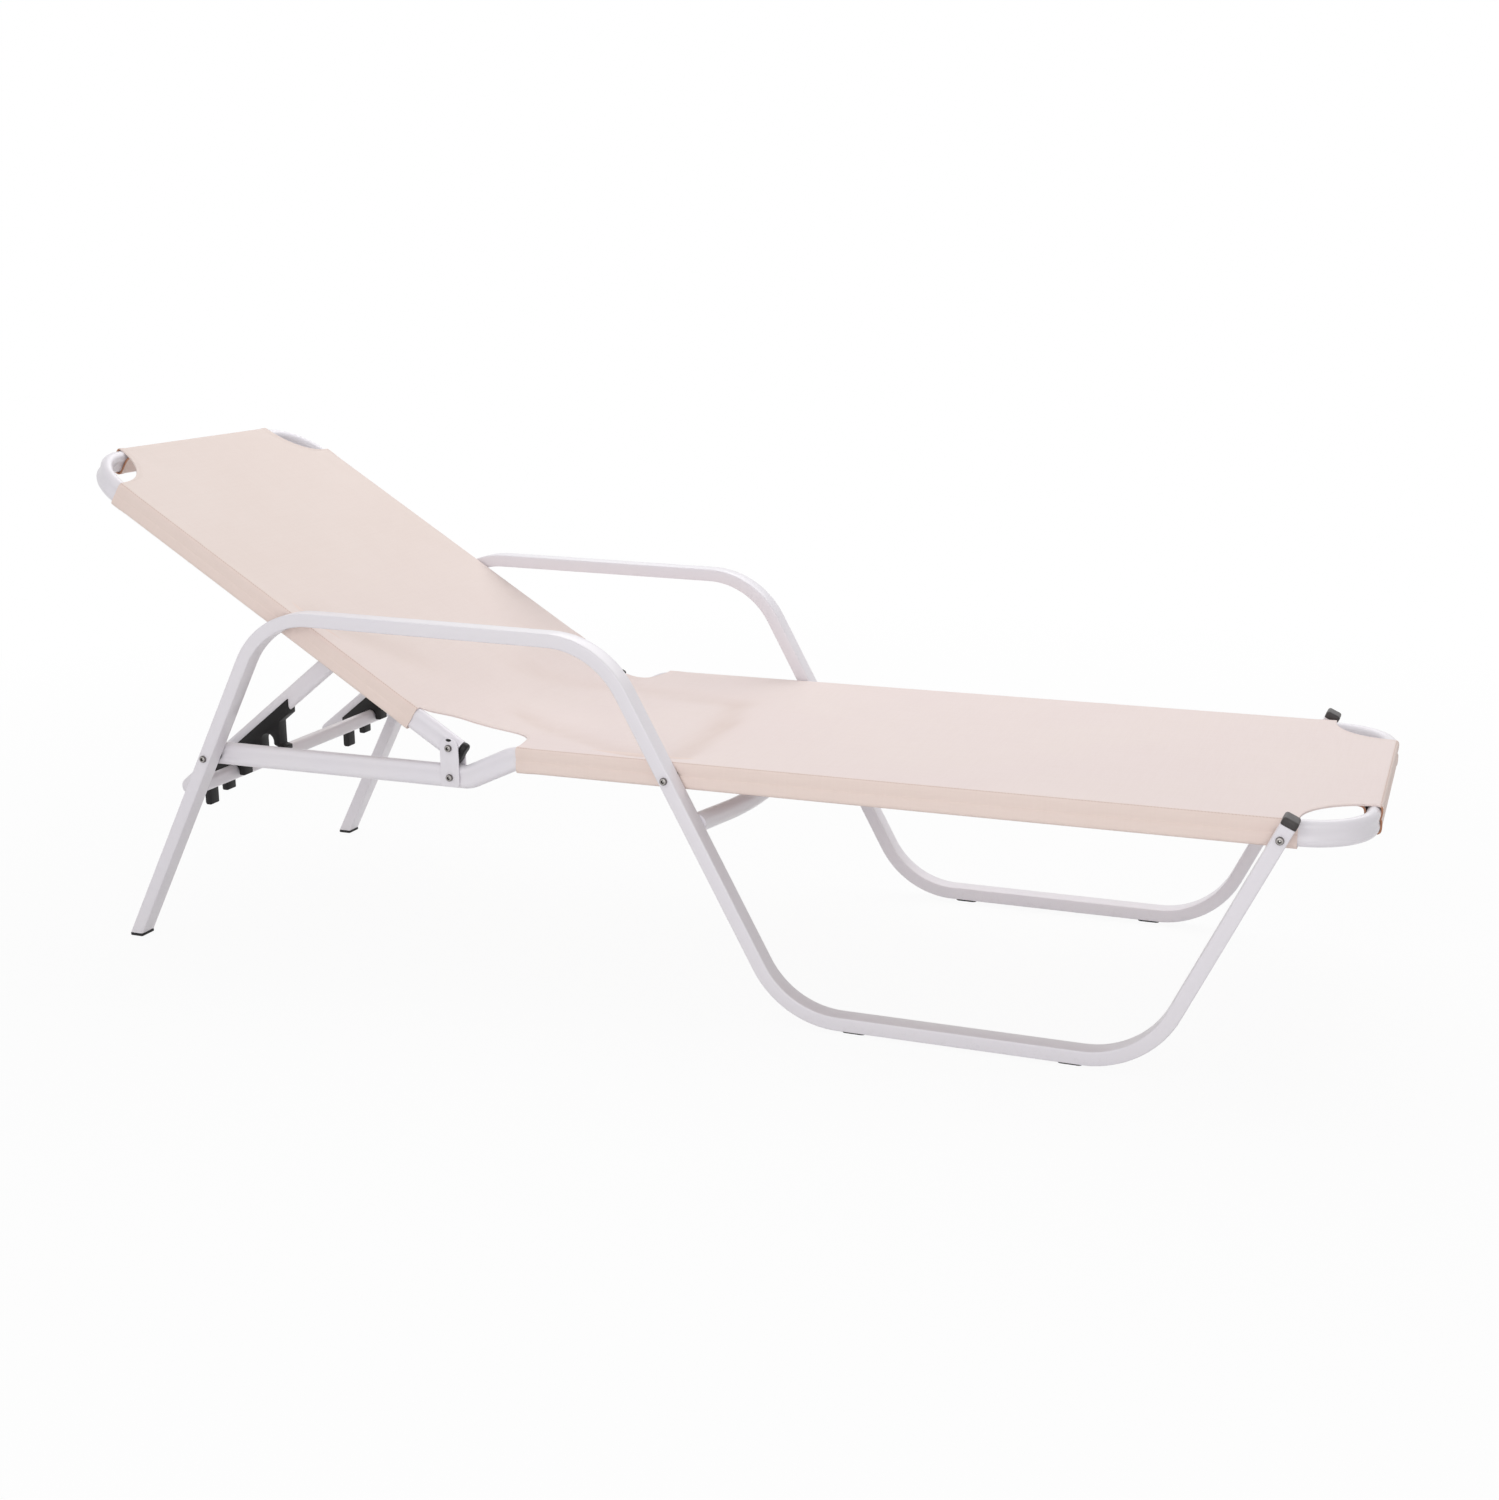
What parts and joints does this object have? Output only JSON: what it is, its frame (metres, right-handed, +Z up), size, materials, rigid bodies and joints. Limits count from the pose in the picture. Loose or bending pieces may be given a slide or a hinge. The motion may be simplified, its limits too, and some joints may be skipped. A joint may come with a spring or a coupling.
{
  "type": "beach lounger",
  "caption": "Low beach lounger: sling seat and reclining sling backrest between two bent tube leg frames with armrests and floor skids",
  "frame": {"origin": "On the floor, below the middle of the whole lounger's outline.", "axes": "+X toward the sitter's feet, +Y to the sitter's left, +Z up."},
  "size_m": [1.9134, 0.6346, 0.7482],
  "materials": {
    "white_enamel": "gloss white enamel",
    "black_plastic": "black moulded",
    "dark_grey_plastic": "dark grey moulded",
    "bolt_steel": "dull zinc",
    "sling_fabric": "fine woven sling cloth, pale sand pink"
  },
  "bodies": {
    "base": {"bracket_left_inner": "white_enamel", "bracket_left_outer": "white_enamel", "bracket_right_inner": "white_enamel", "bracket_right_outer": "white_enamel", "end_cap_left": "dark_grey_plastic", "end_cap_right": "dark_grey_plastic", "foot_cap_left": "black_plastic", "foot_cap_right": "black_plastic", "hinge_bolt_left": "bolt_steel", "hinge_bolt_right": "bolt_steel", "leg_bolt_left_foot": "bolt_steel", "leg_bolt_left_mid": "bolt_steel", "leg_bolt_left_rear": "bolt_steel", "leg_bolt_right_foot": "bolt_steel", "leg_bolt_right_mid": "bolt_steel", "leg_bolt_right_rear": "bolt_steel", "leg_frame_left": "white_enamel", "leg_frame_right": "white_enamel", "mid_crossbar": "white_enamel", "rail_bolt_left": "bolt_steel", "rail_bolt_right": "bolt_steel", "rear_crossbar": "white_enamel", "seat_frame": "white_enamel", "skid_pad_left_front": "black_plastic", "skid_pad_left_rear": "black_plastic", "skid_pad_right_front": "black_plastic", "skid_pad_right_rear": "black_plastic", "sling_seat": "sling_fabric", "spacer_left_foot": "black_plastic", "spacer_left_mid": "black_plastic", "spacer_left_rear": "black_plastic", "spacer_right_foot": "black_plastic", "spacer_right_mid": "black_plastic", "spacer_right_rear": "black_plastic"},
    "backrest": {"back_frame": "white_enamel", "back_plug_left": "black_plastic", "back_plug_right": "black_plastic", "sling_back": "sling_fabric", "strut_lug_left": "black_plastic", "strut_lug_right": "black_plastic"},
    "struts": {"comb_left": "black_plastic", "comb_right": "black_plastic", "strut_frame": "white_enamel"}
  },
  "joints": [
    {"name": "backrest_hinge", "type": "hinge", "parent": "base", "child": "backrest", "pos_m": [-0.32809, 0, 0.3455], "axis": [0, 1, 0], "range_deg": [0, 40]},
    {"name": "strut_pivot", "type": "hinge", "parent": "backrest", "child": "struts", "pos_m": [-0.5401, 0, 0.46669], "axis": [0, 1, 0], "range_deg": [-18, 0]}
  ],
  "couplings": [
    {"joint": "strut_pivot", "follows": "backrest_hinge", "ratio": -0.43}
  ]
}
